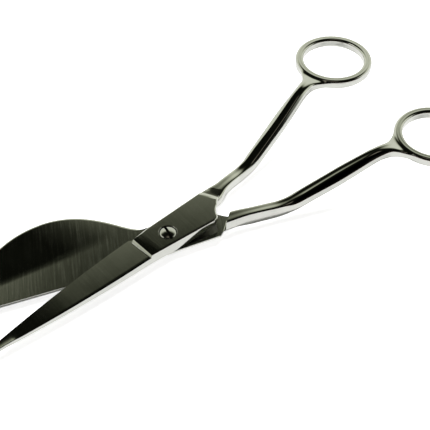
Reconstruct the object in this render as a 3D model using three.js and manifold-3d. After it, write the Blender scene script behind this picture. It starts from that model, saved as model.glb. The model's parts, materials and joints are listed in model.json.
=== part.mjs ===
// Duckbill applique scissors: two forged steel halves that turn on one slotted screw.
// The upper half carries the pointed knife blade, the lower half the broad paddle blade.
// Both shanks rise behind the blades, so that the finger rings sit clear of the cloth.
//
// Millimetres, +Z up. The paddle half lies on z = 0, and the centre of the footprint is the origin.
// Each half is drawn in its own frame: the pivot axis at x = y = 0, the handle towards +X. With the
// scissors closed the two frames are one. The upper half's finger ring is on the +Y side.

import * as THREE from "three";
import { mergeVertices } from "three/addons/utils/BufferGeometryUtils.js";
import Module from "manifold-3d";

const wasm = await Module();
wasm.setup();

// Driving dimensions

const HALF_THICKNESS = 3.8; // each forging, at the pivot
const RIDE_GAP = 0.25; // running gap between the two inner faces
const REST_OPENING = 14.3; // degrees between the halves as the scissors lie

// Pivot screw
const THREAD_RADIUS = 1.9;
const JOURNAL_RADIUS = 2.2;
const RUNNING_CLEARANCE = 0.1; // round the screw, in either half
const HEAD_RADIUS = 2.7;
const HEAD_RIM = 1.0; // height of the head below its dome
const HEAD_DOME = 0.35;
const HEAD_CLEARANCE = 0.3; // round the head, in its counterbore
const COUNTERBORE_DEPTH = 1.6;
const SEAT_GAP = 0.15; // under the head, under the journal and at the screw's end
const SLOT_WIDTH = 0.65;
const SLOT_DEPTH = 0.8;
const SLOT_ANGLE = 85; // degrees, in the lower half's frame

// Tang: the flat round the pivot. Its heel reaches across to the root of the other half's shank.
const SHOULDER_X = -10.2; // where the knife's ground face starts
const SPINE_SIDE_FRONT = 3.5; // half breadth on the spine's side, at the shoulder
const HEEL = new THREE.Vector2(15.2, 6.4); // across from the half's own ring
const CROTCH = new THREE.Vector2(20.9, 0.2);
const RING_SIDE_UPPER = 6.0; // half breadth on the ring's side
const PAD_FRONT_X = -3.4; // where the pad reaches that breadth
const PAD_END_X = 17.6; // where it gives way to the shank
const RING_SIDE_LOWER_FRONT = 3.8;
const RING_SIDE_LOWER_BACK = 6.0;
const HEEL_ROUND = 1.4;
const CROTCH_ROUND = 2.0;
const HEEL_CLEARANCE = 0.4; // from a heel to the other half's shoulder, closed
const HEEL_RELIEF = 2.6; // how far the upper heel's underside is ground away at its end
const HEEL_RELIEF_START = 3;
const TANG_CENTRE = new THREE.Vector2(4, 0);
const PAD_CHAMFER = 0.45; // height of the chamfer round the upper tang's flat
const PAD_SHARE = 0.955; // size of that flat, as a share of the tang
const BELLY_LAND = 0.7; // height of the lower tang's side above its sloping belly
const BELLY_SHARE = 0.7; // size of the belly's flat, as a share of the tang
const BELLY_CENTRE = new THREE.Vector2(13, 5.5); // the flat lies under the balance point
const LOWER_HEEL_EXTRA = 1.3; // how much further the lower heel reaches, on the same line
const SHOULDER_FILLET = 1.0;
const SHOULDER_GAP = 0.65; // from the upper heel to the wall that rises from the fillet, closed
const LOWER_ROOT_X = 18; // the lower shank's underside starts here, behind the tang's round corner

// Knife blade, upper half
const KNIFE_LENGTH = 68.5; // from the pivot to the tip
const KNIFE_TIP = new THREE.Vector2(-KNIFE_LENGTH, 3.3);
const KNIFE_TIP_BLUNT = 0.5;
const KNIFE_BELLY = new THREE.Vector2(-12, 7.8);
const KNIFE_BELLY_CURVE = 1.7; // exponent of the cutting edge's sweep to the tip
const KNIFE_BACK = new THREE.Vector2(-60, 1.5); // where the back turns towards the tip
const KNIFE_BACK_BOW = 0.6;
const KNIFE_BACK_CURVE = 1.5; // exponent of the back's turn to the tip
const KNIFE_BACK_ROOT = 3.1; // thickness of the back at the shoulder
const KNIFE_BACK_FRONT = 1.7; // thickness of the back where it turns
const KNIFE_THINNING = 2; // exponent of the back's thinning to the tip
const KNIFE_TIP_THICKNESS = 0.6;
const KNIFE_FACE_TILT = 1.4; // degrees, at the shoulder
const KNIFE_TIP_TILT = 0.3;
const KNIFE_BEVEL = 65; // degrees
const KNIFE_EDGE = 0.3; // thickness left at the cutting edge
const KNIFE_FILLET = 1.3; // from the ground face up to the pad
const KNIFE_HEEL_LENGTH = 4.5; // the heel of the edge fades into the tang

// Paddle blade, lower half
const PADDLE_MIDDLE = new THREE.Vector2(-32, 3.0);
const PADDLE_REACH = 29.2; // from the middle to the nose
const PADDLE_BREADTH = 22.8; // from the middle to the broadest place
const PADDLE_NECK = new THREE.Vector2(-2.9, 8.4);
const PADDLE_SWEEP_OUT = 18.5; // how far the outer curve holds its direction at the broadest place
const PADDLE_SWEEP_IN = new THREE.Vector2(-6.6, -0.9); // and at the neck
const PADDLE_EDGE_HEEL = new THREE.Vector2(-14, -4.4);
const PADDLE_EDGE_DROP = 0.1; // end of the cutting edge, below the middle
const PADDLE_NOSE_ROUND = 1.6;
const PADDLE_THICKNESS = 2.7;
const PADDLE_RIM = 0.45; // thickness left at the ground rim
const PADDLE_GRIND = 0.88; // size of the unground underside, as a share of the paddle
const PADDLE_GRIND_OFFSET = 7.6; // centre of that underside, from the middle towards the broad side

// Shank and finger ring, alike on both halves
const SHANK_ROOT = new THREE.Vector2(13, 2.75);
const SHANK_BASE = new THREE.Vector2(23.2, 3.0);
const SHANK_START = new THREE.Vector2(27.8, 4.3);
const BEND = new THREE.Vector2(38.8, 5.2);
const SHANK_RAISE = 0.55; // centre of the level stretch, above the plane where the halves meet
const HANDLE_LENGTH = 90.8; // from the pivot to the ring's centre
const RING_OFFSET = 13.4;
const RING_RAISE = 13.3; // centre plane of the rings, above the plane where the halves meet
const RING_BORE = 10.4; // inside radius
const RING_WIDTH = 3.0;
const RING_HEIGHT = 3.4;
const RING_SQUARENESS = 3; // 2 is an ellipse, more is squarer
const NECK_RUN = 4.5; // level run from the second bend to the ring's centre line
const BEND_LENGTH = 5; // how far each bend is rounded, to either side
const FLARE_LENGTH = 7;
const FLARE_WIDTH = 8.5;
const SHANK_SECTIONS = [
  { along: 0, width: 6.5, height: 5.5, squareness: 8 },
  { along: 0.11, width: 6.4, height: 5.5, squareness: 8 },
  { along: 0.15, width: 6.1, height: 5.4, squareness: 7 },
  { along: 0.2, width: 3.9, height: 5.1, squareness: 6 },
  { along: 0.24, width: 3.6, height: 4.9, squareness: 5 },
  { along: 0.34, width: 3.7, height: 4.6, squareness: 5 },
  { along: 0.42, width: 4.8, height: 4.8, squareness: 2.3 },
  { along: 0.66, width: 4.7, height: 4.7, squareness: 2.1 },
  { along: 0.87, width: 4.0, height: 4.2, squareness: 2.3 },
  { along: 1, width: 4.0, height: 3.4, squareness: 3 },
];

// Facets
const ROUND_SIDES = 40;
const RING_STEPS = 56;
const SECTION_POINTS = 16;
const SHANK_STEPS = 36;
const KNIFE_STEPS = 18;
const FILLET_STEPS = 4;
const CURVE_STEPS = 16;
const FAR = 60; // past everything, for cutters

// Levels that follow from the sizes above
const LOWER_INNER = HALF_THICKNESS;
const UPPER_INNER = HALF_THICKNESS + RIDE_GAP;
const UPPER_TOP = UPPER_INNER + HALF_THICKNESS;
const MEETING = (LOWER_INNER + UPPER_INNER) / 2;
const RING = new THREE.Vector2(HANDLE_LENGTH, RING_OFFSET);
const RING_RADIUS = RING_BORE + RING_WIDTH / 2;

const UPPER = 1; // the side of a half's own ring
const LOWER = -1;

// Solids

// A closed geometry as a solid, turned right side out where a half was mirrored.
function solid(geometry) {
  const bare = geometry.clone();
  bare.deleteAttribute("normal");
  bare.deleteAttribute("uv");
  const merged = mergeVertices(bare, 1e-4);
  const places = merged.attributes.position.array;
  const corners = merged.index.array;
  const [a, b, c] = [new THREE.Vector3(), new THREE.Vector3(), new THREE.Vector3()];
  const triangles = [];
  let volume = 0;
  for (let i = 0; i < corners.length; i += 3) {
    const [p, q, r] = corners.slice(i, i + 3);
    if (p === q || q === r || r === p) continue;
    triangles.push([p, q, r]);
    a.fromArray(places, 3 * p);
    b.fromArray(places, 3 * q);
    c.fromArray(places, 3 * r);
    volume += a.dot(b.cross(c));
  }
  const outward = volume < 0 ? triangles.map(([p, q, r]) => [p, r, q]) : triangles;
  const mesh = new wasm.Mesh({
    numProp: 3,
    vertProperties: Float32Array.from(places),
    triVerts: Uint32Array.from(outward.flat()),
  });
  return new wasm.Manifold(mesh);
}

function geometryOf(body) {
  const mesh = body.getMesh();
  const geometry = new THREE.BufferGeometry();
  geometry.setAttribute("position", new THREE.BufferAttribute(mesh.vertProperties, 3));
  geometry.setIndex(new THREE.BufferAttribute(mesh.triVerts, 1));
  geometry.computeVertexNormals();
  return geometry;
}

// A closed skin through a row of sections, each a loop of as many points, with flat ends.
function loft(sections) {
  const count = sections[0].length;
  const places = sections.flat();
  const index = [];
  for (let s = 0; s + 1 < sections.length; s++) {
    for (let k = 0; k < count; k++) {
      const here = s * count + k;
      const next = s * count + ((k + 1) % count);
      index.push(here, next, next + count, here, next + count, here + count);
    }
  }
  for (const end of [0, sections.length - 1]) {
    const middle = places.length;
    const centre = new THREE.Vector3();
    sections[end].forEach((p) => centre.addScaledVector(p, 1 / count));
    places.push(centre);
    for (let k = 0; k < count; k++) {
      const edge = [end * count + k, end * count + ((k + 1) % count)];
      if (end === 0) edge.reverse();
      index.push(middle, ...edge);
    }
  }
  const geometry = new THREE.BufferGeometry().setFromPoints(places);
  geometry.setIndex(index);
  return geometry;
}

// An outline at several levels, drawn smaller about a centre where a share is given.
function layered(outline, centre, layers) {
  const loop = outline.getPoints(CURVE_STEPS);
  const sections = layers.map(({ level, share = 1 }) =>
    loop.map((p) => {
      const place = p.clone().sub(centre).multiplyScalar(share).add(centre);
      return new THREE.Vector3(place.x, place.y, level);
    }),
  );
  return solid(loft(sections));
}

function cylinder(radius, low, high) {
  const drum = new THREE.CylinderGeometry(radius, radius, high - low, ROUND_SIDES);
  drum.rotateX(Math.PI / 2);
  drum.translate(0, 0, (low + high) / 2);
  return solid(drum);
}

// Points round a rounded rectangle of a width and a height, about its centre.
function section({ width, height, squareness }) {
  const bulge = (v) => Math.sign(v) * Math.abs(v) ** (2 / squareness);
  return Array.from({ length: SECTION_POINTS }, (_, k) => {
    const turn = (2 * Math.PI * (k + 0.5)) / SECTION_POINTS;
    const x = (width / 2) * bulge(Math.cos(turn));
    const y = (height / 2) * bulge(Math.sin(turn));
    return new THREE.Vector2(x, y);
  });
}

// Handle: shank, flare and finger ring

// Straight runs through the points, rounded at the corners.
function roundedPath(points) {
  const path = new THREE.CurvePath();
  let from = points[0];
  for (let i = 1; i + 1 < points.length; i++) {
    const before = points[i].clone().sub(points[i - 1]);
    const after = points[i + 1].clone().sub(points[i]);
    const start = points[i].clone().sub(before.clampLength(0, Math.min(BEND_LENGTH, before.length() / 2)));
    const end = points[i].clone().add(after.clampLength(0, Math.min(BEND_LENGTH, after.length() / 2)));
    path.add(new THREE.LineCurve3(from, start));
    path.add(new THREE.QuadraticBezierCurve3(start, points[i], end));
    from = end;
  }
  path.add(new THREE.LineCurve3(from, points.at(-1)));
  return path;
}

function shankSize(along) {
  const after = Math.max(1, SHANK_SECTIONS.findIndex((s) => s.along >= along));
  const [p, q] = SHANK_SECTIONS.slice(after - 1, after + 1);
  const between = (name) => THREE.MathUtils.mapLinear(along, p.along, q.along, p[name], q[name]);
  return { width: between("width"), height: between("height"), squareness: between("squareness") };
}

function shank(side) {
  const toRing = RING.clone().sub(BEND).normalize();
  const seat = RING.clone().addScaledVector(toRing, -RING_RADIUS);
  const neck = seat.clone().addScaledVector(toRing, -NECK_RUN);
  const place = (p, raise) => new THREE.Vector3(p.x, side * p.y, MEETING + raise);
  const path = roundedPath([
    place(SHANK_ROOT, SHANK_RAISE),
    place(SHANK_BASE, SHANK_RAISE),
    place(SHANK_START, SHANK_RAISE),
    place(BEND, SHANK_RAISE),
    place(neck, RING_RAISE),
    place(seat, RING_RAISE),
  ]);
  const length = path.getLength();
  const stations = path.getSpacedPoints(SHANK_STEPS);
  const sections = stations.map((centre, i) => {
    const ahead = stations[Math.min(i + 1, SHANK_STEPS)];
    const behind = stations[Math.max(i - 1, 0)];
    const forward = ahead.clone().sub(behind).normalize();
    const across = new THREE.Vector3(-forward.y, forward.x, 0).normalize();
    const up = forward.clone().cross(across);
    const along = i / SHANK_STEPS;
    const size = shankSize(along);
    const intoFlare = Math.max(0, 1 - ((1 - along) * length) / FLARE_LENGTH);
    size.width += (FLARE_WIDTH - size.width) * (1 - Math.sqrt(1 - intoFlare ** 2));
    return section(size).map((p) =>
      centre.clone().addScaledVector(across, p.x).addScaledVector(up, p.y),
    );
  });
  return solid(loft(sections));
}

function fingerRing(side) {
  const size = { width: RING_WIDTH, height: RING_HEIGHT, squareness: RING_SQUARENESS };
  const profile = section(size).map((p) => new THREE.Vector2(RING_RADIUS + p.x, p.y));
  profile.push(profile[0].clone());
  const turned = new THREE.LatheGeometry(profile, RING_STEPS);
  turned.rotateX(Math.PI / 2);
  turned.translate(RING.x, side * RING.y, MEETING + RING_RAISE);
  return solid(turned);
}

// A long bar along the line where the other half's heel ends when closed. Its profile is drawn
// with x away from the pivot, from that line, and y up, from a level.
function heelBar(side, level, profile) {
  const bar = new THREE.ExtrudeGeometry(profile, {
    depth: 2 * FAR,
    bevelEnabled: false,
    curveSegments: CURVE_STEPS / 2,
  });
  bar.translate(0, 0, -FAR);
  bar.rotateX(Math.PI / 2);
  bar.rotateZ(side * Math.atan2(CROTCH.x - HEEL.x, HEEL.y - CROTCH.y));
  const middle = HEEL.clone().add(CROTCH).multiplyScalar(0.5);
  bar.translate(middle.x, side * middle.y, level);
  return solid(bar);
}

// Below the upper half's inner face, its shank starts behind the other half's heel.
function upperShoulder() {
  const profile = new THREE.Shape();
  profile.moveTo(-FAR, -FAR);
  profile.lineTo(HEEL_CLEARANCE, -FAR);
  profile.lineTo(HEEL_CLEARANCE, 0);
  profile.lineTo(-FAR, 0);
  return heelBar(UPPER, UPPER_INNER, profile);
}

// Above the lower half's inner face, its shank rises behind the other half's heel in a fillet.
function lowerShoulder() {
  const start = SHOULDER_GAP - SHOULDER_FILLET;
  const profile = new THREE.Shape();
  profile.moveTo(-FAR, 0);
  profile.lineTo(start, 0);
  profile.absarc(start, SHOULDER_FILLET, SHOULDER_FILLET, -Math.PI / 2, 0, false);
  profile.lineTo(SHOULDER_GAP, FAR);
  profile.lineTo(-FAR, FAR);
  return heelBar(LOWER, LOWER_INNER, profile);
}

// Below the lower half's inner face, its shank starts behind the tang's round corner.
function lowerRoot() {
  const block = new THREE.BoxGeometry(FAR, 2 * FAR, FAR);
  block.translate(LOWER_ROOT_X - FAR / 2, 0, LOWER_INNER - FAR / 2);
  return solid(block);
}

// Tangs

// The heel and the crotch, from the heel's front edge to the inner side of the shank.
function drawHeel(outline, side, front, extra) {
  const inner = SHANK_START;
  const place = (p) => [p.x, side * p.y];
  const run = (from, to, distance) => to.clone().sub(from).setLength(distance).add(from);
  const crotch = new THREE.Vector2(CROTCH.x, -CROTCH.y);
  const heelLine = new THREE.Vector2(HEEL.x, -HEEL.y).sub(crotch);
  const heel = crotch.clone().add(heelLine.setLength(heelLine.length() + extra));
  outline.lineTo(...place(run(heel, front, HEEL_ROUND)));
  outline.quadraticCurveTo(...place(heel), ...place(run(heel, crotch, HEEL_ROUND)));
  outline.lineTo(...place(run(crotch, heel, CROTCH_ROUND)));
  outline.quadraticCurveTo(...place(crotch), ...place(run(crotch, inner, CROTCH_ROUND)));
}

function upperTang() {
  const front = new THREE.Vector2(SHOULDER_X, -SPINE_SIDE_FRONT);
  const outline = new THREE.Shape();
  outline.moveTo(front.x, front.y);
  drawHeel(outline, UPPER, front, 0);
  outline.lineTo(PAD_END_X, RING_SIDE_UPPER);
  outline.lineTo(PAD_FRONT_X, RING_SIDE_UPPER);
  outline.lineTo(SHOULDER_X, RING_SIDE_UPPER - PAD_CHAMFER);
  return layered(outline, TANG_CENTRE, [
    { level: UPPER_INNER },
    { level: UPPER_TOP - PAD_CHAMFER },
    { level: UPPER_TOP, share: PAD_SHARE },
  ]);
}

function lowerTang() {
  const front = new THREE.Vector2(PADDLE_NECK.x, -PADDLE_NECK.y);
  const outline = new THREE.Shape();
  outline.moveTo(SHOULDER_X, PADDLE_NECK.y);
  outline.lineTo(PADDLE_NECK.x, PADDLE_NECK.y);
  drawHeel(outline, LOWER, front, LOWER_HEEL_EXTRA);
  outline.lineTo(HEEL.x + 2 * HEEL_ROUND, -SHANK_START.y);
  outline.lineTo(HEEL.x, -RING_SIDE_LOWER_BACK);
  outline.lineTo(SHOULDER_X, -RING_SIDE_LOWER_FRONT);
  return layered(outline, BELLY_CENTRE, [
    { level: 0, share: BELLY_SHARE },
    { level: LOWER_INNER - BELLY_LAND },
    { level: LOWER_INNER },
  ]);
}

// The upper heel's underside is ground away towards its end.
function heelRelief() {
  const end = HEEL.x + 2 * HEEL_ROUND;
  const profile = new THREE.Shape();
  profile.moveTo(HEEL_RELIEF_START, -FAR);
  profile.lineTo(HEEL_RELIEF_START, 0);
  profile.lineTo(end, HEEL_RELIEF);
  profile.lineTo(FAR, HEEL_RELIEF);
  profile.lineTo(FAR, -FAR);
  const wedge = new THREE.ExtrudeGeometry(profile, { depth: FAR, bevelEnabled: false });
  wedge.rotateX(Math.PI / 2);
  wedge.translate(0, -CROTCH.y, UPPER_INNER);
  return solid(wedge);
}

// Upper half

// Back, cutting edge, thickness and tilt of the knife at a place along it.
function knifeAt(x) {
  const { lerp, clamp } = THREE.MathUtils;
  const fromBack = (x - KNIFE_BACK.x) / (SHOULDER_X - KNIFE_BACK.x);
  const toTip = clamp((x - KNIFE_BACK.x) / (KNIFE_TIP.x - KNIFE_BACK.x), 0, 1);
  const bow = 4 * fromBack * (1 - fromBack) * KNIFE_BACK_BOW;
  const straight = lerp(KNIFE_BACK.y, -SPINE_SIDE_FRONT, Math.max(0, fromBack)) - Math.max(0, bow);
  const back = lerp(straight, KNIFE_TIP.y - KNIFE_TIP_BLUNT / 2, toTip ** KNIFE_BACK_CURVE);
  const forward = Math.max(0, (KNIFE_BELLY.x - x) / (KNIFE_BELLY.x - KNIFE_TIP.x));
  const edge = lerp(KNIFE_BELLY.y, KNIFE_TIP.y + KNIFE_TIP_BLUNT / 2, forward ** KNIFE_BELLY_CURVE);
  const body = lerp(KNIFE_BACK_FRONT, KNIFE_BACK_ROOT, Math.max(0, fromBack));
  const thick = lerp(body, KNIFE_TIP_THICKNESS, toTip ** KNIFE_THINNING);
  const tilt = THREE.MathUtils.mapLinear(x, SHOULDER_X, KNIFE_TIP.x, KNIFE_FACE_TILT, KNIFE_TIP_TILT);
  return { back, edge, thick, tilt };
}

function knife() {
  const { lerp, clamp, degToRad } = THREE.MathUtils;
  const filletStart = SHOULDER_X - KNIFE_FILLET;
  const stations = [];
  for (let i = 0; i < KNIFE_STEPS; i++) {
    stations.push(lerp(KNIFE_TIP.x, filletStart, i / KNIFE_STEPS));
  }
  for (let i = 0; i <= FILLET_STEPS; i++) {
    stations.push(lerp(filletStart, SHOULDER_X, i / FILLET_STEPS));
  }
  stations.push(SHOULDER_X + KNIFE_HEEL_LENGTH);
  const sections = stations.map((x) => {
    const { back, edge, thick, tilt } = knifeAt(Math.min(x, SHOULDER_X));
    const rim = x > SHOULDER_X ? RING_SIDE_UPPER - PAD_CHAMFER : edge;
    const intoFillet = clamp((x - filletStart) / KNIFE_FILLET, 0, 1);
    const lift = (HALF_THICKNESS - PAD_CHAMFER - thick) * (1 - Math.sqrt(1 - intoFillet ** 2));
    const top = thick + lift;
    const bevelTop = Math.max(KNIFE_EDGE, top - (rim - back) * Math.tan(degToRad(tilt)));
    const bevelRun = (bevelTop - KNIFE_EDGE) / Math.tan(degToRad(KNIFE_BEVEL));
    const bevel = Math.min((rim - back) / 2, bevelRun);
    const profile = [
      [rim, 0],
      [back, 0],
      [back, top],
      [rim - bevel, bevelTop],
      [rim, KNIFE_EDGE],
    ];
    return profile.map(([y, z]) => new THREE.Vector3(x, y, UPPER_INNER + z));
  });
  return solid(loft(sections));
}

function upperHalf() {
  const handle = shank(UPPER).subtract(upperShoulder());
  return upperTang()
    .subtract(heelRelief())
    .add(knife())
    .add(handle)
    .add(fingerRing(UPPER))
    .subtract(cylinder(JOURNAL_RADIUS + RUNNING_CLEARANCE, 0, FAR))
    .subtract(cylinder(HEAD_RADIUS + HEAD_CLEARANCE, UPPER_TOP - COUNTERBORE_DEPTH, FAR));
}

// Lower half

function paddle() {
  const nose = PADDLE_MIDDLE.x - PADDLE_REACH;
  const top = PADDLE_MIDDLE.y + PADDLE_BREADTH;
  const edgeEnd = PADDLE_MIDDLE.y - PADDLE_EDGE_DROP;
  const arcStart = Math.PI - PADDLE_NOSE_ROUND / PADDLE_BREADTH;
  const outline = new THREE.Shape();
  outline.moveTo(-SHOULDER_X, -RING_SIDE_LOWER_FRONT);
  outline.lineTo(SHOULDER_X, -RING_SIDE_LOWER_FRONT);
  outline.lineTo(PADDLE_EDGE_HEEL.x, PADDLE_EDGE_HEEL.y);
  outline.lineTo(nose + PADDLE_NOSE_ROUND, edgeEnd);
  outline.quadraticCurveTo(
    nose,
    edgeEnd,
    PADDLE_MIDDLE.x + PADDLE_REACH * Math.cos(arcStart),
    PADDLE_MIDDLE.y + PADDLE_BREADTH * Math.sin(arcStart),
  );
  outline.absellipse(
    PADDLE_MIDDLE.x,
    PADDLE_MIDDLE.y,
    PADDLE_REACH,
    PADDLE_BREADTH,
    arcStart,
    Math.PI / 2,
    true,
  );
  outline.bezierCurveTo(
    PADDLE_MIDDLE.x + PADDLE_SWEEP_OUT,
    top,
    PADDLE_NECK.x + PADDLE_SWEEP_IN.x,
    PADDLE_NECK.y + PADDLE_SWEEP_IN.y,
    PADDLE_NECK.x,
    PADDLE_NECK.y,
  );
  outline.lineTo(-SHOULDER_X, HEEL.y);
  const centre = new THREE.Vector2(PADDLE_MIDDLE.x, PADDLE_MIDDLE.y + PADDLE_GRIND_OFFSET);
  return layered(outline, centre, [
    { level: LOWER_INNER - PADDLE_THICKNESS, share: PADDLE_GRIND },
    { level: LOWER_INNER - PADDLE_RIM },
    { level: LOWER_INNER },
  ]);
}

function lowerHalf() {
  const handle = shank(LOWER).subtract(lowerShoulder()).subtract(lowerRoot());
  return lowerTang()
    .add(paddle())
    .add(handle)
    .add(fingerRing(LOWER))
    .subtract(cylinder(THREAD_RADIUS + RUNNING_CLEARANCE, -FAR, FAR));
}

// Pivot screw: thread in the lower half, journal and domed head in the upper one.
function pivotScrew() {
  const seat = UPPER_TOP - COUNTERBORE_DEPTH + SEAT_GAP;
  const rim = seat + HEAD_RIM;
  const crown = rim + HEAD_DOME;
  const ball = (HEAD_RADIUS ** 2 + HEAD_DOME ** 2) / (2 * HEAD_DOME);
  const profile = new THREE.Path();
  profile.moveTo(0, SEAT_GAP);
  profile.lineTo(THREAD_RADIUS, SEAT_GAP);
  profile.lineTo(THREAD_RADIUS, LOWER_INNER + SEAT_GAP);
  profile.lineTo(JOURNAL_RADIUS, LOWER_INNER + SEAT_GAP);
  profile.lineTo(JOURNAL_RADIUS, seat);
  profile.lineTo(HEAD_RADIUS, seat);
  profile.lineTo(HEAD_RADIUS, rim);
  profile.absarc(0, crown - ball, ball, Math.acos(HEAD_RADIUS / ball), Math.PI / 2, false);
  const turned = new THREE.LatheGeometry(profile.getPoints(CURVE_STEPS / 2), ROUND_SIDES);
  turned.rotateX(Math.PI / 2);
  const slot = new THREE.BoxGeometry(3 * HEAD_RADIUS, SLOT_WIDTH, 2 * SLOT_DEPTH);
  slot.translate(0, 0, crown);
  slot.rotateZ(THREE.MathUtils.degToRad(SLOT_ANGLE));
  return solid(turned).subtract(solid(slot));
}

// Assembly

function piece(name, body, look) {
  const mesh = new THREE.Mesh(geometryOf(body), new THREE.MeshStandardMaterial(look));
  mesh.name = name;
  return mesh;
}

const halfOpening = THREE.MathUtils.degToRad(REST_OPENING / 2);

const lower = new THREE.Group();
lower.rotation.z = -halfOpening;
lower.add(
  piece("paddle_blade_half", lowerHalf(), { color: 0x8b8d86, roughness: 0.34, metalness: 1 }),
  piece("pivot_screw", pivotScrew(), { color: 0xa9aba2, roughness: 0.22, metalness: 1 }),
);

const upper = new THREE.Group();
upper.rotation.z = halfOpening;
upper.add(
  piece("knife_blade_half", upperHalf(), { color: 0x90928b, roughness: 0.3, metalness: 1 }),
);

const scissors = new THREE.Group();
scissors.add(lower, upper);
const footprint = new THREE.Box3().setFromObject(scissors, true);
const middle = footprint.getCenter(new THREE.Vector3());
lower.position.set(-middle.x, -middle.y, -footprint.min.z);
upper.position.copy(lower.position);

export default scissors;
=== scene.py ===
"""Duckbill applique scissors: smooth forged halves and a polished screw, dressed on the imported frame."""
import json
import math

import bmesh
import bpy
from mathutils import Matrix, Vector


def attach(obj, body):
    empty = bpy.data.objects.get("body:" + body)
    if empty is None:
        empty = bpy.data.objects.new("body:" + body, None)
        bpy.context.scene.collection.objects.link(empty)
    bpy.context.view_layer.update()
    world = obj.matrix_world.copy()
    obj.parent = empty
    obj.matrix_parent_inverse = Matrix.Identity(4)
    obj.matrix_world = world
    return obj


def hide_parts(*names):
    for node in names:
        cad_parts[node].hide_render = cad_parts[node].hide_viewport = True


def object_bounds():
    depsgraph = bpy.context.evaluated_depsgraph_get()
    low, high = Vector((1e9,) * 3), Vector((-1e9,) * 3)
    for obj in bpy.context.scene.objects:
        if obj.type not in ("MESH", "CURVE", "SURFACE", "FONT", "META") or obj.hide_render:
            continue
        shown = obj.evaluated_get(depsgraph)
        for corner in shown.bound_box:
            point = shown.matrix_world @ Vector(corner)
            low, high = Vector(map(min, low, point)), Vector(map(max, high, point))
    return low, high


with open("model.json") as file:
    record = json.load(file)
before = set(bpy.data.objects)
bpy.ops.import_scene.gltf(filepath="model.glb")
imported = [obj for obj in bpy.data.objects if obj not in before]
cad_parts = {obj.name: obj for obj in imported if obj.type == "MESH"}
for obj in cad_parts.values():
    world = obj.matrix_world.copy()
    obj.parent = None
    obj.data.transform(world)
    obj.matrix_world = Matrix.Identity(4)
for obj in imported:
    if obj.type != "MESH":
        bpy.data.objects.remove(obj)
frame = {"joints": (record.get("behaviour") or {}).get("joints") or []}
cad_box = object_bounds()

# Sizes are in millimetres, in each half's own frame: the pivot at x = y = 0, the handle towards +X,
# z up from the plane that the scissors lie on.
MM = 0.001
HALF_THICKNESS = 3.8  # each forging, at the pivot
RIDE_GAP = 0.25  # running gap between the two inner faces
REST_OPENING = 14.3  # degrees between the halves as the scissors lie

# Pivot screw
THREAD_RADIUS = 1.9
JOURNAL_RADIUS = 2.2
RUNNING_CLEARANCE = 0.1  # round the screw, in either half
HEAD_RADIUS = 2.7
HEAD_RIM = 1.35  # height of the head below its dome
HEAD_DOME = 0.65
HEAD_CLEARANCE = 0.2  # round the head, in its counterbore
HEAD_EDGE_ROUND = 0.3
HEAD_EDGE_SHARE = 0.3  # of that rounding, from the edge's corner to its rounded middle
HEAD_LEAN = 2  # degrees, of the dome
HEAD_LEAN_TOWARDS = 60  # degrees, bearing of its low side
COUNTERBORE_DEPTH = 1.6
COUNTERBORE_CHAMFER = 0.05
SEAT_GAP = 0.15  # under the head, under the journal and at the screw's end
SLOT_WIDTH = 0.85
SLOT_DEPTH = 1.3
SLOT_ANGLE = 85  # degrees, in the lower half's frame

# Tang
SHOULDER_X = -10.2  # where the knife's ground face starts
SPINE_SIDE_FRONT = 3.5  # half breadth on the spine's side, at the shoulder
HEEL = Vector((15.2, 6.4))  # across from the half's own ring
CROTCH = Vector((20.9, 0.2))
RING_SIDE_UPPER = 6.0  # half breadth on the ring's side
RING_SIDE_LOWER_FRONT = 3.8
RING_SIDE_LOWER_BACK = 6.0
HEEL_ROUND = 1.4
CROTCH_ROUND = 2.0
CROTCH_DIP = 0.45  # how far the line from heel to crotch curves in
HEEL_CLEARANCE = 0.4  # from a heel to the other half's shoulder, closed
HEEL_RELIEF = 2.6  # how far the upper heel's underside is ground away at its end
HEEL_RELIEF_START = 3
PAD_ROUND = 0.6
PAD_FRONT_X = -3.4  # where the pad reaches its full breadth
PAD_FRONT_RUN = 0.8  # length of the fillet at the pad's front, on the ring's side
PAD_FRONT_RUN_SPINE = 0.5
PAD_FRONT_RUN_LEAST = 0.1
PAD_FRONT_HOLLOW = 2.0  # exponent of the fillet's rise
PAD_FRONT_DROP = 0.2  # how far the pad's top falls towards its front
PAD_FRONT_LENGTH = 4.5  # where that fall starts, from the shoulder
PAD_FRONT_FOOT = 0.3  # depth of the fillet's foot, below the knife's back
BELLY_LAND = 0.7  # height of the lower tang's side above its sloping belly
BELLY_SHARE = 0.7  # size of the belly's flat, as a share of the tang
BELLY_CENTRE = Vector((13, 5.5))
LOWER_HEEL_EXTRA = 1.3  # how much further the lower heel reaches, on the same line
LOWER_HEEL_ROUND = 2.6
SHOULDER_FILLET = 1.0  # radius, at the foot of the wall behind the upper heel
SHOULDER_ANGLE = 89  # degrees, of that wall
SHOULDER_GAP = 0.6  # from the heel's clearance to the top of the fillet
EDGE_BREAK = 0.12

# Knife blade
KNIFE_TIP = Vector((-68.5, 3.3))
KNIFE_TIP_BLUNT = 0.5
KNIFE_BELLY = Vector((-12, 7.8))
KNIFE_BELLY_CURVE = 1.7  # exponent of the cutting edge's sweep to the tip
KNIFE_BACK = Vector((-60, 1.5))  # where the back turns towards the tip
KNIFE_BACK_BOW = 0.6
KNIFE_BACK_CURVE = 1.5  # exponent of the back's turn to the tip
KNIFE_BACK_ROOT = 2.6  # thickness of the back at the shoulder
KNIFE_BACK_FRONT = 1.2  # thickness of the back where it turns
KNIFE_THINNING = 2  # exponent of the back's thinning to the tip
KNIFE_FACE_TILT = 2.1  # degrees, at the shoulder
KNIFE_TIP_TILT = -0.9
KNIFE_TWIST = (0.4, 0.75)  # shares of the blade between which the tilt changes
KNIFE_BEVEL_ANGLE = 65  # degrees
KNIFE_BEVEL_MOST = 0.45  # largest bevel, as a share of the width
KNIFE_EDGE = 0.25  # thickness left at the cutting edge
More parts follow.
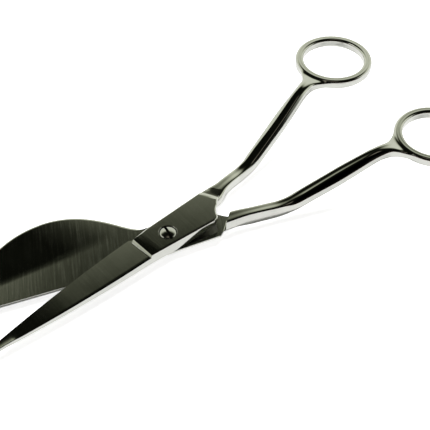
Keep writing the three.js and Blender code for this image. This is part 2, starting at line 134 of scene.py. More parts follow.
KNIFE_BEVEL_TOP_LEAST = 1.2  # lowest top of the bevel, in thicknesses of the edge
KNIFE_CHAMFER = 0.2
KNIFE_CHAMFER_DROP = 0.1
KNIFE_CHAMFER_MOST = 0.2  # largest chamfer, as a share of the width or the thickness
KNIFE_FACE_START = 0.1  # least distance of the ground face from the chamfer, as a share of the width
KNIFE_RIDGE_START = -55  # the ridge along the back grows from here
KNIFE_RIDGE_FULL = -57.5  # to its full size here
KNIFE_RIDGE_WIDTH = 1.6
KNIFE_RIDGE_TILT = 6.8  # degrees
KNIFE_RIDGE_SHARE = 0.4  # widest ridge, as a share of the width
KNIFE_HEEL_LENGTH = 4.5  # how far the blade runs on inside the tang

# Paddle blade
PADDLE_MIDDLE = Vector((-32, 3.0))
PADDLE_REACH = 29.2  # from the middle to the nose
PADDLE_BREADTH = 22.8  # from the middle to the broadest place
PADDLE_NECK = Vector((-2.9, 8.4))
PADDLE_SWEEP_OUT = 18.5  # how far the outer curve holds its direction at the broadest place
PADDLE_SWEEP_IN = Vector((-6.6, -0.9))  # and at the neck
PADDLE_EDGE_HEEL = Vector((-14, -4.4))
PADDLE_EDGE_DROP = 0.1  # sideways, from the middle to the end of the cutting edge
PADDLE_NOSE_ROUND = 1.6
PADDLE_THICKNESS = 2.7
PADDLE_RIM = 0.3  # thickness left at the ground rim
PADDLE_GRIND = 0.88  # size of the unground underside, as a share of the paddle
PADDLE_CREASE_Y = 10.5  # the spoon's outer side rises from here
PADDLE_CREASE_BLEND = 1.6
PADDLE_HOLLOW = 2.0  # degrees that the face falls from its edge
PADDLE_HOLLOW_RUN = (-4, -66)  # places along it between which that fall grows
PADDLE_SPOON = 5.2  # degrees that the outer side rises
PADDLE_SPOON_RUN = (-11, -43)
PADDLE_BEVEL = 0.3
PADDLE_BEVEL_DROP = 0.08

# Shank and finger ring
SHANK_ROOT = Vector((13.0, 2.75))
SHANK_BASE = Vector((23.2, 2.7))
SHANK_START = Vector((27.8, 3.95))
BEND = Vector((38.8, 4.9))
LOWER_BASE = Vector((23.2, 3.5))
LOWER_START = Vector((27.8, 4.5))
LOWER_BEND = Vector((38.8, 6.4))
SHANK_RAISE = 0.55  # centre of the level stretch, above the plane where the halves meet
NECK_X = 70.3  # where the shank is level again, before the ring
RING = Vector((90.8, 13.4))
RING_RAISE = 13.3  # centre plane of the rings, above the plane where the halves meet
RING_BORE = 10.4  # inside radius
RING_WIDTH = 3.0
RING_HEIGHT = 3.4
BEND_LENGTH = 3.5  # how far each bend is rounded, to either side
FORK_GAP = 2.6  # from the shank's last section to the ring
LOWER_ROOT = 18.0  # the lower shank's underside starts here
# Sections along each bar: place as a share of its length, width, height, corner, ease, outer run, outer
# drop, under, keel, lift and roll in degrees.
UPPER_SECTIONS = [
    (0.0, 6.5, 4.6, 0.06, 0.6, 0, 0, 0.6, 0, 0.95, 0),
    (0.12, 6.3, 4.6, 0.06, 0.8, 0, 0, 0.6, 0, 0.95, 0),
    (0.158, 5.8, 4.5, 0.07, 0.6, 0, 0, 0.6, 0.4, 1.0, 0),
    (0.215, 4.1, 4.4, 0.09, 0.2, 0, 0, 0.6, 0.5, 1.02, 0.2),
    (0.25, 3.8, 4.3, 0.10, 0, 0, 0, 0.6, 0.5, 0.98, 0.4),
    (0.38, 3.7, 4.3, 0.11, 0, 0, 0, 0.6, 0.5, 0.6, 0.4),
    (0.46, 5.0, 4.6, 0.20, 0, 0.4, 0.1, 0.4, 0.2, 0.25, 0),
    (0.70, 5.3, 4.6, 0.22, 0, 0.9, 0.25, 0.2, 0, 0, 0),
    (0.93, 4.6, 4.2, 0.25, 0, 0.3, 0.1, 0, 0, 0, 0),
    (1.0, 4.7, 3.6, 0.18, 0, 0, 0, 0, 0, 0, 0),
]
LOWER_SECTIONS = [
    (0.0, 4.4, 4.6, 0.06, 0, 0, 0, 0.6, 0, 0.85, 0.5),
    (0.12, 4.2, 4.6, 0.06, 0, 0, 0, 0.6, 0, 0.85, 0.5),
    (0.158, 3.9, 4.5, 0.07, 0, 0, 0, 0.9, 1.0, 0.9, 1.0),
    (0.215, 3.5, 4.4, 0.09, 0, 0, 0, 0.9, 1.7, 0.93, 1.7),
    (0.25, 3.5, 4.3, 0.10, 0, 0, 0, 0.9, 1.7, 0.92, 2.1),
    (0.38, 3.6, 4.3, 0.11, 0, 0, 0, 0.9, 1.5, 0.6, 1.9),
    (0.46, 4.9, 4.6, 0.20, 0, 0.4, 0.1, 0.4, 0.6, 0.25, 0),
    (0.70, 5.3, 4.6, 0.22, 0, 0.9, 0.25, 0.2, 0, 0, 0),
    (0.93, 4.6, 4.2, 0.25, 0, 0.3, 0.1, 0, 0, 0, 0),
    (1.0, 4.7, 3.6, 0.18, 0, 0, 0, 0, 0, 0, 0),
]
SHANK_CREASE = 0.3  # how firmly the edges of the second stretch hold
CREASE_START = (0.42, 0.5)  # shares of the bar's length
CREASE_END = (0.85, 0.93)
RING_CORNER = 0.21
FLAT_CORNER = 0.16  # a section with this corner has flat sides
ROUND_CORNER = 0.29  # and one with this corner is round
# The hollow between the pad's end and the shank, at its far and near ends. Its sections lie at shares of
# the way between them.
HOLLOW_FAR = {"place": Vector((17.6, 6.0)), "fall": 1.4, "rise": 7.0, "depth": 0.19}
HOLLOW_NEAR = {"place": Vector((20.8, -0.6)), "fall": 1.4, "rise": 7.0, "depth": 0.3}
HOLLOW_REACHES = (-0.5, 0, 0.5, 1, 1.5)
HOLLOW_LEAST = 0.05

# Levels that follow
LOWER_INNER = HALF_THICKNESS
UPPER_INNER = HALF_THICKNESS + RIDE_GAP
UPPER_TOP = UPPER_INNER + HALF_THICKNESS
MEETING = (LOWER_INNER + UPPER_INNER) / 2
RING_RADIUS = RING_BORE + RING_WIDTH / 2
HEAD_SEAT = UPPER_TOP - COUNTERBORE_DEPTH + SEAT_GAP
HEAD_RIM_TOP = HEAD_SEAT + HEAD_RIM

# Fineness
OUTLINE_STEP = 0.8
OUTLINE_REPEAT = 0.02  # points nearer than this are one
MERGE_DISTANCE = 1e-5
SHORTEST = 1e-9  # keeps a division by a length safe
MITRE_LEAST = 0.5  # keeps sharp corners from running far inwards
CURVE_STEPS = 24
ROUND_STEPS = 5
SCREW_SIDES = 96
SHANK_STEPS = 30
RING_STEPS = 30
KNIFE_STEPS = 48
SUBDIVISIONS = 3
SHARP_ANGLE = 32  # degrees
FAR = 60  # past everything, for cutters
CUTTER_AHEAD = 1

# Steel: textures are scaled per metre. Brushing has a direction in degrees, a depth in metres and a share
# of the lines that shows.
STEEL_COLOUR = (0.70, 0.705, 0.66)
STEEL_SHADES = (0.92, 1.06)  # of that colour, from the dark streaks to the light ones
STEEL_SHADE_STOPS = (0.3, 0.7)
KNIFE_BRUSH = {"brush_angle": 85, "brush": 0.000002, "streak": 0.35}
PADDLE_BRUSH = {"brush_angle": 70, "brush": 0.00002, "streak": 1.0}
POLISH_RUN = (18, 26)  # along a half, brushed steel gives way to polished steel
BRUSH_SCALE = (1900, 70, 300)
BRUSH_DETAIL = 3.0
BRUSH_RANGE = (0.35, 0.7)
BRUSHED_ROUGHNESS = (0.03, 0.11)
BRUSHED_CLOUD = 0.04  # roughness that the clouds add
POLISHED_ROUGHNESS = 0.03
POLISHED_CLOUD = 0.05
CLOUD_SCALE = 160.0
CLOUD_DETAIL = 2.0
GRAIN_SCALE = 2600.0
GRAIN_DETAIL = 2.0
GRAIN_HEIGHT = 0.06  # beside brush lines of height 1
RELIEF_PAINTED_SHADE = (0.2, 0.2, 0.185, 1)  # painted shade on the ground relief under the upper heel
RELIEF_ROUGHNESS = 0.25
RELIEF_SHADE_FACING = (-0.5, -0.3)  # upright part of the normal
RELIEF_SHADE_LEVELS = (UPPER_INNER + 0.05, UPPER_INNER + 0.2)
RELIEF_SHADE_FRONT = (2, 3)  # along the half
RELIEF_SHADE_BACK = (20, 22)
SCREW_COLOURS = ((0.5, 0.51, 0.47, 1), (0.68, 0.69, 0.65, 1))
SCREW_ROUGHNESS = 0.1
SPOT_SCALE = 900.0
SPOT_DETAIL = 3.0
SPOT_ROUGHNESS = 0.1
SLOT_PAINTED_SHADE = (0.05, 0.05, 0.045, 1)  # painted shade in the screw's slot: the screw goes this dark below the next levels
SLOT_SHADE_LEVELS = (HEAD_RIM_TOP - 0.4, HEAD_RIM_TOP - 0.1)

UPPER = 1  # the sign of y on the side of a half's ring
LOWER = -1
PIVOT = Vector(frame["joints"][0]["pos_m"])


def lerp(a, b, share):
    return a + (b - a) * share


def clamp(value):
    return max(0.0, min(1.0, value))


def smooth(low, high, value):
    share = clamp((value - low) / (high - low))
    return share * share * (3 - 2 * share)


# Mesh building

def new_object(name, points, faces):
    mesh = bpy.data.meshes.new(name)
    mesh.from_pydata([tuple(p) for p in points], [], faces)
    tidy = bmesh.new()
    tidy.from_mesh(mesh)
    bmesh.ops.remove_doubles(tidy, verts=tidy.verts, dist=MERGE_DISTANCE)
    bmesh.ops.recalc_face_normals(tidy, faces=tidy.faces)
    tidy.to_mesh(mesh)
    tidy.free()
    obj = bpy.data.objects.new(name, mesh)
    bpy.context.scene.collection.objects.link(obj)
    return obj


def apply_modifiers(obj):
    depsgraph = bpy.context.evaluated_depsgraph_get()
    mesh = bpy.data.meshes.new_from_object(obj.evaluated_get(depsgraph))
    obj.modifiers.clear()
    obj.data = mesh


def combine(base, tool, operation):
    """Joins the tool to the base, or cuts it away, and removes the tool."""
    modifier = base.modifiers.new(operation, "BOOLEAN")
    modifier.operation = operation
    modifier.solver = "MANIFOLD"
    modifier.object = tool
    apply_modifiers(base)
    bpy.data.objects.remove(tool)
    return base


def join(base, *tools):
    for tool in tools:
        combine(base, tool, "UNION")
    return base


def cut(base, *tools):
    for tool in tools:
        combine(base, tool, "DIFFERENCE")
    return base


def side_faces(rows, count):
    """The faces between neighbouring loops, for rows of loops with as many points each."""
    faces = []
    for s in range(rows - 1):
        for k in range(count):
            here = s * count + k
            after = s * count + (k + 1) % count
            faces.append((here, after, after + count, here + count))
    return faces


def loft(name, sections):
    """A closed skin through a row of loops with as many points each."""
    count = len(sections[0])
    points = [p for s in sections for p in s]
    faces = side_faces(len(sections), count)
    faces.append(tuple(reversed(range(count))))
    faces.append(tuple(range(len(points) - count, len(points))))
    return new_object(name, points, faces)


def lathe(name, profile):
    """Turns a profile of (radius, height), which starts and ends on the axis."""
    points = []
    for radius, height in profile:
        for k in range(SCREW_SIDES):
            turn = 2 * math.pi * k / SCREW_SIDES
            points.append((radius * math.cos(turn), radius * math.sin(turn), height))
    return new_object(name, points, side_faces(len(profile), SCREW_SIDES))


class Outline:
    """A closed line on a plane, drawn point by point with even steps."""

    def __init__(self, x, y):
        self.points = [Vector((x, y))]

    def line(self, x, y):
        start, end = self.points[-1], Vector((x, y))
        steps = max(1, round((end - start).length / OUTLINE_STEP))
        self.points += [start.lerp(end, i / steps) for i in range(1, steps + 1)]

    def curve(self, bend, end):
        start = self.points[-1]
        for i in range(1, CURVE_STEPS + 1):
            t = i / CURVE_STEPS
            self.points.append((1 - t) ** 2 * start + 2 * t * (1 - t) * bend + t * t * end)

    def sweep(self, leave, arrive, end):
        start = self.points[-1]
        steps = 2 * CURVE_STEPS
        for i in range(1, steps + 1):
            t = i / steps
            self.points.append(
                (1 - t) ** 3 * start
                + 3 * t * (1 - t) ** 2 * leave
                + 3 * t * t * (1 - t) * arrive
                + t**3 * end
            )

    def ellipse(self, centre, reach, breadth, first, last):
        steps = 3 * CURVE_STEPS
        for i in range(1, steps + 1):
            turn = lerp(first, last, i / steps)
            self.points.append(centre + Vector((reach * math.cos(turn), breadth * math.sin(turn))))

    def loop(self):
        """The points without repeats, counterclockwise."""
        kept = []
        for p in self.points:
            if not kept or (p - kept[-1]).length > OUTLINE_REPEAT:
                kept.append(p)
        if (kept[0] - kept[-1]).length < OUTLINE_REPEAT:
            kept.pop()
        area = sum(a.cross(b) for a, b in zip(kept, kept[1:] + kept[:1]))
        return kept if area > 0 else kept[::-1]


def inset(loop, distance):
    """The loop moved inwards by a distance."""
    moved = []
    for before, here, after in zip(loop[-1:] + loop[:-1], loop, loop[1:] + loop[:1]):
        first = (here - before).normalized()
        second = (after - here).normalized()
        inward = Vector((-first.y - second.y, first.x + second.x))
        moved.append(here + inward * (distance / max(MITRE_LEAST, 1 + first.dot(second))))
    return moved


def raised(loop, level):
    return [Vector((p.x, p.y, level)) for p in loop]


def rounded_rim(loop, level, radius):
    """Loops of a rounded rim below a flat at a level, from the wall to the flat."""
    loops = []
    for i in range(ROUND_STEPS + 1):
        turn = math.pi / 2 * i / ROUND_STEPS
        drop = radius * (1 - math.sin(turn))
        loops.append(raised(inset(loop, radius * (1 - math.cos(turn))), level - drop))
    return loops


# Handle: shank, fork and finger ring as one smooth skin

def section(width, height, corner, ease=0, outer_run=0, outer_drop=0, under=0, keel=0, lift=0, roll=0):
    """Twelve points round a bar, each as (to the left, up): three on each side.

    The corner is a share of the smaller size. Ease widens the corner at the top right, outer_run and
    outer_drop the one at the top left, and under both lower ones. Keel deepens the section, and lift
    raises it.
    """
    flatness = clamp((ROUND_CORNER - corner) / (ROUND_CORNER - FLAT_CORNER))
    corner *= min(width, height)
    dip = flatness * corner / 3
    w, h = width / 2, height / 2
    points = [
        (w - corner - outer_run, h),
        ((ease - outer_run) / 2, h - dip),
        (corner + ease - w, h),
        (-w, h - corner - ease),
        (dip - w, 0),
        (-w, corner + under - h),
        (corner + under - w, -h - keel),
        (0, dip - h - keel),
        (w - corner - under, -h - keel),
        (w, corner + under - h),
        (w - dip, 0),
        (w, h - corner - outer_drop),
    ]
    turn = Matrix.Rotation(math.radians(roll), 2)
    return [turn @ Vector(p) + Vector((0, lift)) for p in points]


def shank_line(side):
    """Evenly spaced places along the bar, rounded at its bends, up to the fork."""
    base, begin, bend = SHANK_BASE, SHANK_START, BEND
    if side == LOWER:
        base, begin, bend = LOWER_BASE, LOWER_START, LOWER_BEND
    to_ring = (RING - bend).normalized()
    neck = bend + to_ring * ((NECK_X - bend.x) / to_ring.x)
    end = RING - to_ring * (RING_RADIUS + RING_WIDTH / 2 + FORK_GAP)
    corners = [
        Vector((*SHANK_ROOT, MEETING + SHANK_RAISE)),
        Vector((*base, MEETING + SHANK_RAISE)),
        Vector((*begin, MEETING + SHANK_RAISE)),
        Vector((*bend, MEETING + SHANK_RAISE)),
        Vector((*neck, MEETING + RING_RAISE)),
        Vector((*end, MEETING + RING_RAISE)),
    ]
    line = [corners[0]]
    for before, here, after in zip(corners, corners[1:], corners[2:]):
        reach_in = min(BEND_LENGTH, (here - before).length / 2)
        reach_out = min(BEND_LENGTH, (after - here).length / 2)
        start = here - (here - before).normalized() * reach_in
        finish = here + (after - here).normalized() * reach_out
        for i in range(CURVE_STEPS + 1):
            t = i / CURVE_STEPS
            line.append((1 - t) ** 2 * start + 2 * t * (1 - t) * here + t * t * finish)
    line.append(corners[-1])
    lengths = [0.0]
    for a, b in zip(line, line[1:]):
        lengths.append(lengths[-1] + (b - a).length)
    places = []
    at = 0
    for i in range(SHANK_STEPS + 1):
        want = lengths[-1] * i / SHANK_STEPS
        while at + 2 < len(line) and lengths[at + 1] < want:
            at += 1
        share = clamp((want - lengths[at]) / max(SHORTEST, lengths[at + 1] - lengths[at]))
        places.append(line[at].lerp(line[at + 1], share))
    return places, to_ring


def shank_size(side, along):
    """The sizes of a bar's section at a share of its length."""
    table = UPPER_SECTIONS if side == UPPER else LOWER_SECTIONS
    for first, second in zip(table, table[1:]):
        if along <= second[0]:
            share = smooth(first[0], second[0], along)
            return [lerp(a, b, share) for a, b in zip(first[1:], second[1:])]
    return table[-1][1:]


def handle(name, side):
    """Shank, fork and ring of a half, from a cage with a row of sections along each."""
    places, to_ring = shank_line(side)
    points = []
    for i, centre in enumerate(places):
        ahead = places[min(i + 1, SHANK_STEPS)] - places[max(i - 1, 0)]
        forward = ahead.normalized()
        across = Vector((-forward.y, forward.x, 0)).normalized()
        up = forward.cross(across)
        *sizes, roll = shank_size(side, i / SHANK_STEPS)
        loop = section(*sizes, -side * roll)
        points += [centre + across * a + up * u for a, u in loop]
    count = len(loop)
    faces = side_faces(len(places), count)
    faces.append(tuple(range(count)))

    # The ring's skin is open over four columns on the outside, where the shank runs in.
    first = len(points)
    middle = Vector((*RING, MEETING + RING_RAISE))
    step = 2 * math.pi / RING_STEPS
    facing = math.atan2(-to_ring.y, -to_ring.x)
    shrink = 2 / 3 + math.cos(step) / 3  # the smoothing draws a circle of points in by this share
    for column in range(RING_STEPS):
        turn = facing + (column - 2) * step
        for a, u in section(RING_WIDTH, RING_HEIGHT, RING_CORNER):
            radius = (RING_RADIUS + a) / shrink
            points.append(middle + Vector((radius * math.cos(turn), radius * math.sin(turn), u)))

    def corner(column, k):
        return first + (column % RING_STEPS) * count + k % count

    for column in range(RING_STEPS):
        for k in range(count):
            if column < 4 and k in (9, 10):
                continue
            here, after = corner(column, k), corner(column, k + 1)
            faces.append((here, after, corner(column + 1, k + 1), corner(column + 1, k)))
    mouth = [corner(c, 11) for c in (1, 2, 3, 4)] + [corner(4, 10)]
    mouth += [corner(c, 9) for c in (4, 3, 2, 1, 0)] + [corner(0, 10), corner(0, 11)]
    last = SHANK_STEPS * count
    for k in range(count):
        faces.append((last + k, last + (k + 1) % count, mouth[(k + 1) % count], mouth[k]))

    used = sorted({k for face in faces for k in face})
    renumber = {old: new for new, old in enumerate(used)}
    mirrored = [Vector((points[k].x, side * points[k].y, points[k].z)) for k in used]
    bar = new_object(name, mirrored, [tuple(renumber[k] for k in face) for face in faces])
    # The shank's long edges hold along its second stretch, apart from those in the middle of each side.
    crease = bar.data.attributes.new("crease_edge", "FLOAT", "EDGE")
    for edge in bar.data.edges:
        a, b = sorted(edge.vertices)
        if b <= last + count and b - a == count and a % count not in (1, 4, 7, 10):
            held = smooth(*CREASE_START, a / last) - smooth(*CREASE_END, a / last)
            crease.data[edge.index].value = SHANK_CREASE * held
    smoothing = bar.modifiers.new("smooth", "SUBSURF")
    smoothing.levels = SUBDIVISIONS
    apply_modifiers(bar)
    return bar


def heel_bar(name, side, level, profile):
    """A long bar along the line where the other half's heel ends when closed."""
    along = Vector((CROTCH.x - HEEL.x, side * (CROTCH.y - HEEL.y))).normalized()
    away = Vector((-side * along.y, side * along.x))
    away = away if away.x > 0 else -away
    middle = (HEEL + CROTCH) / 2
    middle = Vector((middle.x, side * middle.y))
    ends = []
    for reach in (-FAR, FAR):
        loop = []
        for x, y in profile:
            flat = middle + along * reach + away * x
            loop.append(Vector((flat.x, flat.y, level + y)))
        ends.append(loop)
    return loft(name, ends)


def lower_shoulder():
    """The cutter over the lower inner face, with the filleted wall that rises from it to the shank."""
    steepest = math.radians(SHOULDER_ANGLE)
    start = HEEL_CLEARANCE + SHOULDER_GAP - SHOULDER_FILLET * math.sin(steepest)
    profile = [(-FAR, 0)]
    for i in range(CURVE_STEPS + 1):
        turn = steepest * i / CURVE_STEPS
        rise = SHOULDER_FILLET * (1 - math.cos(turn))
        profile.append((start + SHOULDER_FILLET * math.sin(turn), rise))
    x, y = profile[-1]
    profile += [(x + FAR * math.cos(steepest), y + FAR * math.sin(steepest)), (-FAR, FAR)]
    return heel_bar("shoulder_cut", LOWER, LOWER_INNER, profile)


def upper_shoulder():
    """The cutter under the upper inner face, up to the other half's heel."""
    profile = [(-FAR, -FAR), (HEEL_CLEARANCE, -FAR), (HEEL_CLEARANCE, 0), (-FAR, 0)]
    return heel_bar("shoulder_cut", UPPER, UPPER_INNER, profile)


# Tangs

def draw_heel(outline, side, front, extra, dip, rounding):
    """Continues a tang's outline from its front round the heel and the crotch."""
    def place(p):
        return Vector((p.x, side * p.y))

    def run(start, end, distance):
        return start + (end - start).normalized() * distance

    crotch = Vector((CROTCH.x, -CROTCH.y))
    line = Vector((HEEL.x, -HEEL.y)) - crotch
    heel = crotch + line.normalized() * (line.length + extra)
    outline.line(*place(run(heel, front, rounding)))
    outline.curve(place(heel), place(run(heel, crotch, rounding)))
    middle = (run(heel, crotch, rounding) + run(crotch, heel, CROTCH_ROUND)) / 2
    inward = Vector((line.y, -line.x)).normalized()
    outline.curve(place(middle + inward * 2 * dip), place(run(crotch, heel, CROTCH_ROUND)))
    outline.curve(place(crotch), place(run(crotch, SHANK_START, CROTCH_ROUND)))


def upper_tang():
    front = Vector((SHOULDER_X, -SPINE_SIDE_FRONT))
    outline = Outline(*front)
    draw_heel(outline, UPPER, front, 0, CROTCH_DIP, HEEL_ROUND)
    outline.line(HOLLOW_FAR["place"].x + HOLLOW_FAR["fall"], RING_SIDE_UPPER)
    outline.line(PAD_FRONT_X, RING_SIDE_UPPER)
    outline.line(SHOULDER_X, RING_SIDE_UPPER - PAD_ROUND)
    outline.line(*front)
    loop = outline.loop()
    return loft("tang", [raised(loop, UPPER_INNER), *rounded_rim(loop, UPPER_TOP, PAD_ROUND)])


def pad_front():
    """The cutter that takes the pad's front down to the knife, with a long soft fall and a fillet."""
    foot = UPPER_INNER + KNIFE_BACK_ROOT - PAD_FRONT_FOOT
    ends = []
    for y in (-2 * SPINE_SIDE_FRONT, 2 * RING_SIDE_UPPER):
        share = (y + SPINE_SIDE_FRONT) / (RING_SIDE_UPPER + SPINE_SIDE_FRONT)
        fillet = max(PAD_FRONT_RUN_LEAST, lerp(PAD_FRONT_RUN_SPINE, PAD_FRONT_RUN, share))
        loop = [Vector((SHOULDER_X - CUTTER_AHEAD, y, foot))]
        for i in range(ROUND_STEPS + 1):
            share = i / ROUND_STEPS
            rise = (UPPER_TOP - PAD_FRONT_DROP - foot) * share**PAD_FRONT_HOLLOW
            loop.append(Vector((SHOULDER_X + fillet * share, y, foot + rise)))
        for i in range(1, CURVE_STEPS + 1):
            share = i / CURVE_STEPS
            x = SHOULDER_X + lerp(fillet, PAD_FRONT_LENGTH, share)
            loop.append(Vector((x, y, UPPER_TOP - PAD_FRONT_DROP * (1 - share) ** 2)))
        loop.append(Vector((SHOULDER_X + PAD_FRONT_LENGTH, y, FAR)))
        loop.append(Vector((SHOULDER_X - CUTTER_AHEAD, y, FAR)))
        ends.append(loop)
    return loft("pad_front", ends)


def lower_tang():
    front = Vector((PADDLE_NECK.x, -PADDLE_NECK.y))
    outline = Outline(SHOULDER_X, PADDLE_NECK.y)
    outline.line(*PADDLE_NECK)
    draw_heel(outline, LOWER, front, LOWER_HEEL_EXTRA, 0, LOWER_HEEL_ROUND)
    outline.line(HEEL.x + 2 * HEEL_ROUND, -SHANK_START.y)
    outline.line(HEEL.x, -RING_SIDE_LOWER_BACK)
    outline.line(SHOULDER_X, -RING_SIDE_LOWER_FRONT)
    outline.line(SHOULDER_X, PADDLE_NECK.y)
    loop = outline.loop()
    belly = [BELLY_CENTRE + (p - BELLY_CENTRE) * BELLY_SHARE for p in loop]
    side = [raised(loop, LOWER_INNER - BELLY_LAND), raised(loop, LOWER_INNER)]
    return loft("tang", [raised(belly, 0), *side])


def heel_relief():
    """The cutter that grinds the upper heel's underside away."""
    end = HEEL.x + 2 * HEEL_ROUND
    profile = [
        (HEEL_RELIEF_START, -FAR),
        (HEEL_RELIEF_START, 0),
        (end, HEEL_RELIEF),
        (FAR, HEEL_RELIEF),
        (FAR, -FAR),
    ]
    ends = []
    for reach in (0, FAR):
        ends.append([Vector((x, -CROTCH.y - reach, UPPER_INNER + z)) for x, z in profile])
    return loft("relief", ends)


# Upper half

def knife_at(x):
    """Back, cutting edge and back thickness of the knife at a place along it."""
    from_back = (x - KNIFE_BACK.x) / (SHOULDER_X - KNIFE_BACK.x)
    to_tip = clamp((x - KNIFE_BACK.x) / (KNIFE_TIP.x - KNIFE_BACK.x))
    bow = max(0, 4 * from_back * (1 - from_back) * KNIFE_BACK_BOW)
    straight = lerp(KNIFE_BACK.y, -SPINE_SIDE_FRONT, max(0, from_back)) - bow
    back = lerp(straight, KNIFE_TIP.y - KNIFE_TIP_BLUNT / 2, to_tip**KNIFE_BACK_CURVE)
    forward = max(0, (KNIFE_BELLY.x - x) / (KNIFE_BELLY.x - KNIFE_TIP.x))
    edge = lerp(KNIFE_BELLY.y, KNIFE_TIP.y + KNIFE_TIP_BLUNT / 2, forward**KNIFE_BELLY_CURVE)
    body = lerp(KNIFE_BACK_FRONT, KNIFE_BACK_ROOT, max(0, from_back))
    thick = lerp(body, 2 * KNIFE_EDGE, to_tip**KNIFE_THINNING)
    return back, edge, thick


def knife():
    """The hollow-ground blade, as sections from its tip to its heel inside the tang."""
    stations = [lerp(KNIFE_TIP.x, SHOULDER_X, i / KNIFE_STEPS) for i in range(KNIFE_STEPS + 1)]
    stations.append(SHOULDER_X + KNIFE_HEEL_LENGTH)
    bevel_slope = math.tan(math.radians(KNIFE_BEVEL_ANGLE))
    sections = []
    for x in stations:
        back, edge, thick = knife_at(min(x, SHOULDER_X))
        if x > SHOULDER_X:
            edge = RING_SIDE_UPPER - 2 * PAD_ROUND
            back += PAD_ROUND
        width = edge - back
        towards_tip = clamp((x - SHOULDER_X) / (KNIFE_TIP.x - SHOULDER_X))
        tilt = lerp(KNIFE_FACE_TILT, KNIFE_TIP_TILT, smooth(*KNIFE_TWIST, towards_tip))
        slope = math.tan(math.radians(tilt))
        chamfer = min(KNIFE_CHAMFER, KNIFE_CHAMFER_MOST * width)
        drop = min(KNIFE_CHAMFER_DROP, KNIFE_CHAMFER_MOST * thick)
        ridge = min(KNIFE_RIDGE_WIDTH, KNIFE_RIDGE_SHARE * width)
        ridge *= smooth(KNIFE_RIDGE_START, KNIFE_RIDGE_FULL, x)
        crest = thick + ridge * math.tan(math.radians(KNIFE_RIDGE_TILT))
        face = KNIFE_FACE_START * width
        bevel_top = max(KNIFE_EDGE * KNIFE_BEVEL_TOP_LEAST, thick - width * slope)
        bevel = min(KNIFE_BEVEL_MOST * width, (bevel_top - KNIFE_EDGE) / bevel_slope)
        profile = [
            (back, 0),
            (back, crest - drop),
            (back + chamfer, crest),
            (back + chamfer + max(ridge, face), thick - face * slope),
            (edge - bevel, bevel_top),
            (edge, KNIFE_EDGE),
            (edge, 0),
        ]
        sections.append([Vector((x, y, UPPER_INNER + z)) for y, z in profile])
    return loft("knife", sections)


def counterbore():
    wide = HEAD_RADIUS + HEAD_CLEARANCE
    floor = UPPER_TOP - COUNTERBORE_DEPTH
    narrow = JOURNAL_RADIUS + RUNNING_CLEARANCE
    chamfer = COUNTERBORE_CHAMFER
    profile = [
        (0, 0),
        (narrow, 0),
        (narrow, floor),
        (wide, floor),
        (wide, UPPER_TOP - chamfer),
        (wide + chamfer, UPPER_TOP),
        (wide + chamfer, FAR),
        (0, FAR),
    ]
    return lathe("counterbore", profile)


def pad_hollow():
    """The cutter of the shallow hollow that ends the pad: a straight fall and a curved rise."""
    along = HOLLOW_NEAR["place"] - HOLLOW_FAR["place"]
    away = Vector((-along.y, along.x)).normalized()
    sections = []
    for reach in HOLLOW_REACHES:
        sizes = [lerp(HOLLOW_FAR[name], HOLLOW_NEAR[name], reach) for name in ("fall", "rise", "depth")]
        fall, rise, depth = [max(HOLLOW_LEAST, size) for size in sizes]
        start = HOLLOW_FAR["place"] + along * reach
        profile = [(0, FAR), (0, 0)]
        for i in range(CURVE_STEPS + 1):
            share = i / CURVE_STEPS
            profile.append((fall + rise * share, depth * (share * share - 1)))
        profile.append((fall + rise, FAR))
        loop = []
        for x, z in profile:
            flat = start + away * x
            loop.append(Vector((flat.x, flat.y, UPPER_TOP + z)))
        sections.append(loop)
    return loft("hollow", sections)


def upper_half():
    bar = cut(handle("bar", UPPER), upper_shoulder())
    body = cut(upper_tang(), heel_relief(), pad_front())
    return cut(join(body, knife(), bar), pad_hollow(), counterbore())


# Lower half

def paddle_outline():
    nose = PADDLE_MIDDLE.x - PADDLE_REACH
    top = PADDLE_MIDDLE.y + PADDLE_BREADTH
    edge_end = PADDLE_MIDDLE.y - PADDLE_EDGE_DROP
    start = math.pi - PADDLE_NOSE_ROUND / PADDLE_BREADTH
    outline = Outline(-SHOULDER_X, -RING_SIDE_LOWER_FRONT)
    outline.line(SHOULDER_X, -RING_SIDE_LOWER_FRONT)
    outline.line(*PADDLE_EDGE_HEEL)
    outline.line(nose + PADDLE_NOSE_ROUND, edge_end)
    arc = Vector((PADDLE_REACH * math.cos(start), PADDLE_BREADTH * math.sin(start)))
    outline.curve(Vector((nose, edge_end)), PADDLE_MIDDLE + arc)
    outline.ellipse(PADDLE_MIDDLE, PADDLE_REACH, PADDLE_BREADTH, start, math.pi / 2)
    outline.sweep(
        Vector((PADDLE_MIDDLE.x + PADDLE_SWEEP_OUT, top)),
        PADDLE_NECK + PADDLE_SWEEP_IN,
        PADDLE_NECK,
    )
    outline.line(-SHOULDER_X, HEEL.y)
    outline.line(-SHOULDER_X, -RING_SIDE_LOWER_FRONT)
    return outline.loop()


def spoon(p):
    """How far the paddle's hollow face lies above the level of its edge at a place."""
    outside = p.y - PADDLE_CREASE_Y
    blend = PADDLE_CREASE_BLEND
    rise = 0.0
    if outside > blend:
        rise = outside
    elif outside > -blend:
        rise = (outside + blend) ** 2 / (4 * blend)
    rise *= smooth(*PADDLE_SPOON_RUN, p.x) * math.tan(math.radians(PADDLE_SPOON))
    fall = (p.y - PADDLE_EDGE_HEEL.y) * math.tan(math.radians(PADDLE_HOLLOW))
    return rise - smooth(*PADDLE_HOLLOW_RUN, p.x) * fall


